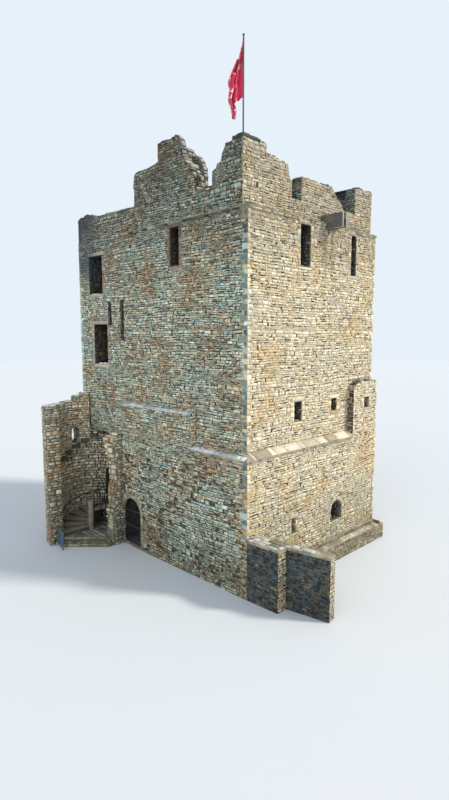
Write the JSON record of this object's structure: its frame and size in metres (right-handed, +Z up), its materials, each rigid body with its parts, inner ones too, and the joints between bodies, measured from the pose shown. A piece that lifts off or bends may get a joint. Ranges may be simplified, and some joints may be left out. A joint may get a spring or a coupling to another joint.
{
  "type": "ruined castle keep with a round stair turret",
  "caption": "Square stone castle keep with broken battlements, a ruined round stair turret, a barred gate and a flag on a pole.",
  "frame": {"origin": "centre of the keep's upper walls, at ground level", "axes": "+X along the front to its right as seen from outside, +Y from the gate side to the back, +Z up"},
  "size_m": [16.5872, 13.3168, 22.2],
  "materials": {
    "wall_rubble": "coursed sandstone rubble in lime mortar",
    "turret_rubble": "warm sandstone rubble, weathered",
    "dressed_stone": "dressed sandstone, weathered",
    "slate_paving": "riven slate",
    "floor_boards": "aged oak",
    "wrought_iron": "black iron",
    "black_iron": "black paint",
    "blue_grey_steel": "satin paint",
    "pole_metal": "pale paint",
    "flag_cloth": "woven polyester"
  },
  "bodies": {
    "keep": {"back_parapet": "wall_rubble", "back_wall_lower": "wall_rubble", "back_wall_middle": "wall_rubble", "back_wall_upper": "wall_rubble", "chimney_stack": "wall_rubble", "chute": "dressed_stone", "corner_merlon": "wall_rubble", "corner_pier": "wall_rubble", "deck": "slate_paving", "first_floor": "floor_boards", "flag": "flag_cloth", "flagpole": "pole_metal", "front_ledge": "dressed_stone", "front_offset_wall": "wall_rubble", "front_parapet": "wall_rubble", "front_wall_lower_left": "wall_rubble", "front_wall_lower_right": "wall_rubble", "front_wall_middle": "wall_rubble", "front_wall_over_gate": "wall_rubble", "front_wall_upper": "wall_rubble", "gate_pins": "wrought_iron", "gate_surround": "dressed_stone", "gate_threshold": "slate_paving", "ground_floor": "slate_paving", "handrail": "black_iron", "landing": "slate_paving", "landing_guard": "black_iron", "left_parapet": "wall_rubble", "left_wall_lower": "wall_rubble", "left_wall_middle": "wall_rubble", "left_wall_upper": "wall_rubble", "lower_step": "slate_paving", "newel": "dressed_stone", "platform": "slate_paving", "plinth_back": "dressed_stone", "plinth_right": "dressed_stone", "railing_panel": "blue_grey_steel", "right_ledge": "dressed_stone", "right_parapet": "wall_rubble", "right_wall_lower": "wall_rubble", "right_wall_middle": "wall_rubble", "right_wall_upper": "wall_rubble", "second_floor": "floor_boards", "stair_winders": "dressed_stone", "string_course_front": "dressed_stone", "string_course_right": "dressed_stone", "stub_buttress": "wall_rubble", "stub_cap": "dressed_stone", "stub_wall": "wall_rubble", "third_floor": "floor_boards", "turret_stub": "turret_rubble", "turret_wall_broken_end": "turret_rubble", "turret_wall_by_keep": "turret_rubble", "turret_wall_middle": "turret_rubble", "upper_tread_stumps": "dressed_stone", "vault_springer": "turret_rubble"},
    "gate": {"gate_leaf": "wrought_iron"}
  },
  "joints": [
    {"name": "gate_hinge", "type": "hinge", "parent": "keep", "child": "gate", "pos_m": [-0.538, -4.986, 0.08], "axis": [0, 0, -1], "range_deg": [0, 90]}
  ]
}
